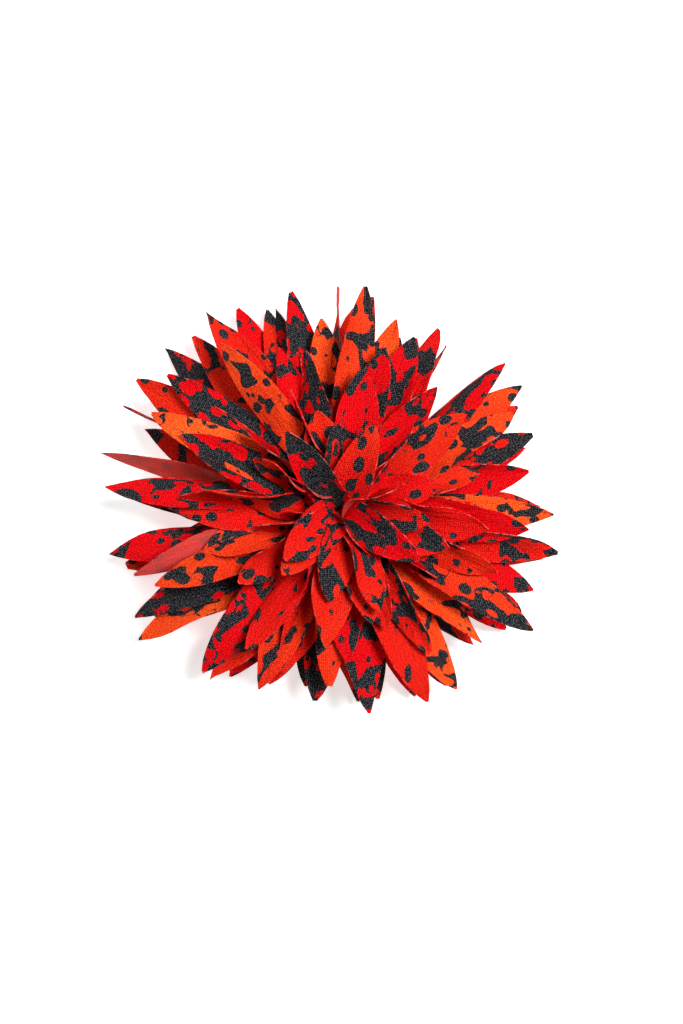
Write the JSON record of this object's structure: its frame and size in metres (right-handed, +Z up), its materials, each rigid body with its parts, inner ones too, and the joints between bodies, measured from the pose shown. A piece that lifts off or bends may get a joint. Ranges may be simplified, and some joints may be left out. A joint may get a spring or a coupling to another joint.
{
  "type": "flower hair clip",
  "caption": "Layered flower of pointed printed cloth petals on a felt backing, glued to a sprung steel alligator clip with one opening jaw.",
  "frame": {"origin": "on the surface that the clip stands on, below the middle of the flower", "axes": "+Z up out of the flower's face, +X along the clip towards the tip of its jaws, so the finger handles are at -X and the hinge lies along Y"},
  "size_m": [0.1098, 0.1098, 0.0393],
  "materials": {
    "printed_cloth": "crepe cloth printed with red and charcoal patches, heat-cut edges, paler underside",
    "black_thread": "matt doubled sewing thread",
    "black_felt": "matt pressed felt",
    "clear_glue": "translucent hot-melt glue",
    "clip_steel": "nickel-plated sheet steel",
    "spring_steel": "drawn spring wire"
  },
  "bodies": {
    "flower": {"petal_round_01": "printed_cloth", "petal_round_02": "printed_cloth", "petal_round_03": "printed_cloth", "petal_round_04": "printed_cloth", "petal_round_05": "printed_cloth", "petal_round_06": "printed_cloth", "petal_round_07": "printed_cloth", "petal_round_08": "printed_cloth", "petal_round_09": "printed_cloth", "petal_round_10": "printed_cloth", "petal_round_11": "printed_cloth", "petal_round_12": "printed_cloth", "center_stitch": "black_thread", "glue_ring": "clear_glue", "felt_disc": "black_felt", "glue_pad": "clear_glue", "upper_jaw": "clip_steel", "hinge_pin": "clip_steel", "torsion_spring": "spring_steel"},
    "lower_jaw": {"lower_jaw": "clip_steel"}
  },
  "joints": [
    {"name": "clip_hinge", "type": "hinge", "parent": "flower", "child": "lower_jaw", "pos_m": [-0.01, 0, 0.0057], "axis": [0, 1, 0], "range_deg": [0, 27], "stiffness_Nm_per_rad": 0.04, "springref_deg": -45.84, "deforming": ["torsion_spring"]}
  ]
}
